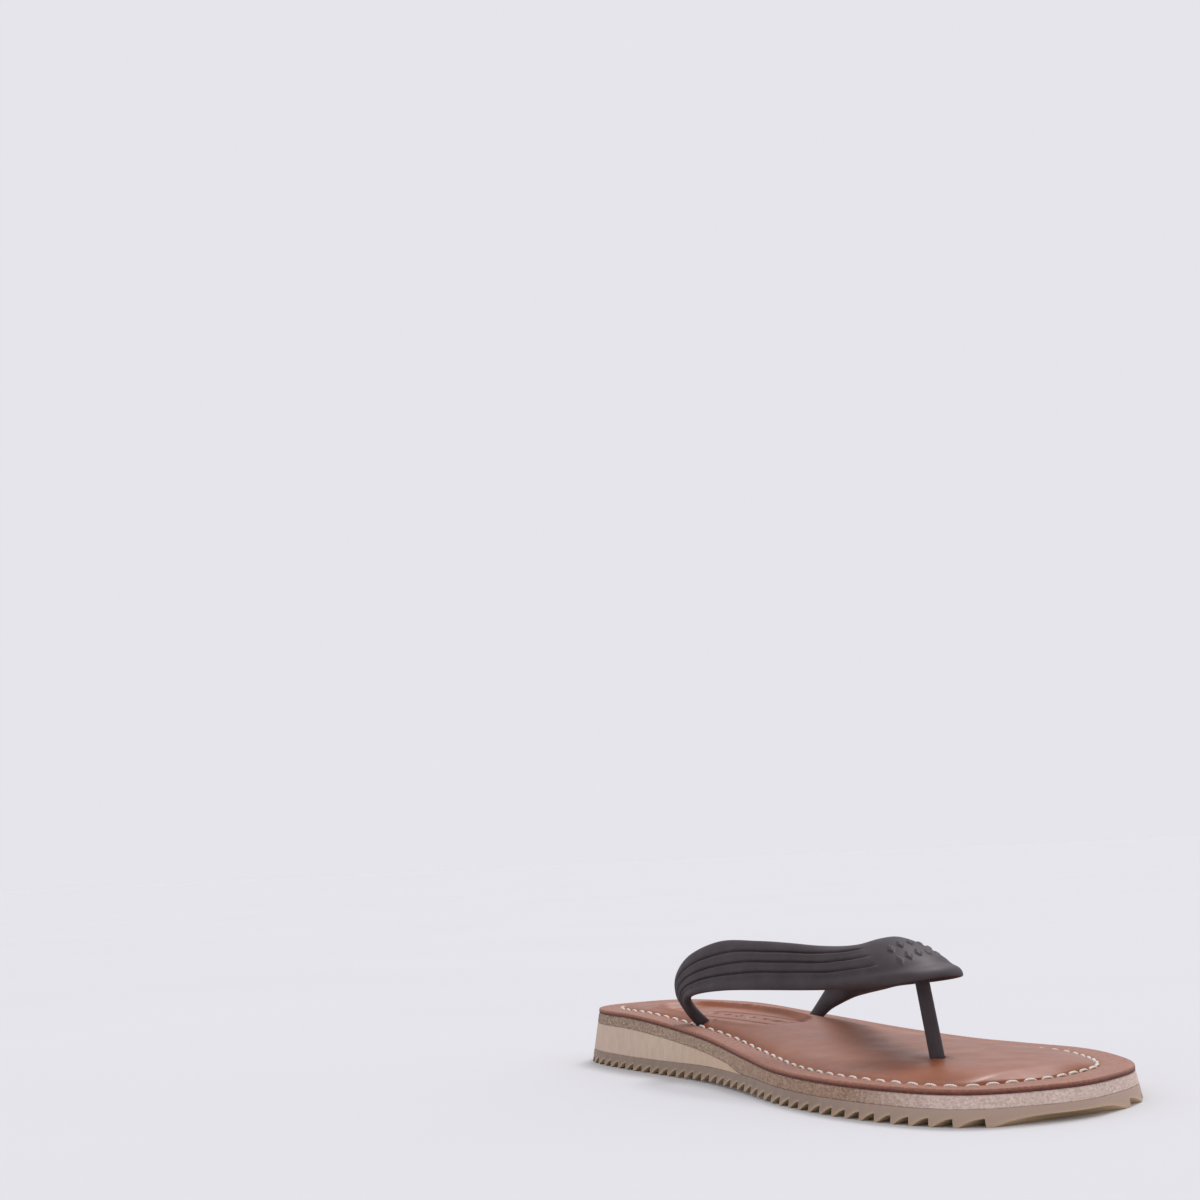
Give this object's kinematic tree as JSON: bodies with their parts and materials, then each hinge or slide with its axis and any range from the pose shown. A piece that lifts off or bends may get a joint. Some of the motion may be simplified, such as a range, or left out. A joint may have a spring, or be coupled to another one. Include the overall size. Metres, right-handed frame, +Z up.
{
  "type": "flip flop",
  "caption": "Left-foot leather flip flop with a stitched padded footbed, low heel wedge, sawtooth rubber sole and a ribbed rubber thong strap.",
  "frame": {"origin": "on the floor, under the middle of the outsole's length and width", "axes": "+X towards the toe, +Y towards the little-toe side of a left foot, +Z up"},
  "size_m": [0.2602, 0.1083, 0.0492],
  "materials": {
    "outsole_rubber": "translucent grey-brown crepe-like rubber, satin",
    "wedge_leather": "pale stacked leather edge, fine vertical grain, matt",
    "midsole_leather": "mottled raw-cut leather edge, matt",
    "foam": "open-cell foam, hidden",
    "cover_leather": "smooth cognac leather with a soft sheen and a dark burnished cut edge",
    "thread": "waxed off-white thread",
    "strap_rubber": "dark chocolate moulded rubber, satin",
    "washer_plastic": "plain moulded washer, hidden"
  },
  "bodies": {
    "root": {"outsole": "outsole_rubber", "heel_wedge": "wedge_leather", "midsole": "midsole_leather", "foam_pad": "foam", "footbed_cover": "cover_leather", "stitch_thread": "thread", "strap": "strap_rubber", "toe_washer": "washer_plastic", "medial_washer": "washer_plastic", "lateral_washer": "washer_plastic"}
  },
  "joints": []
}
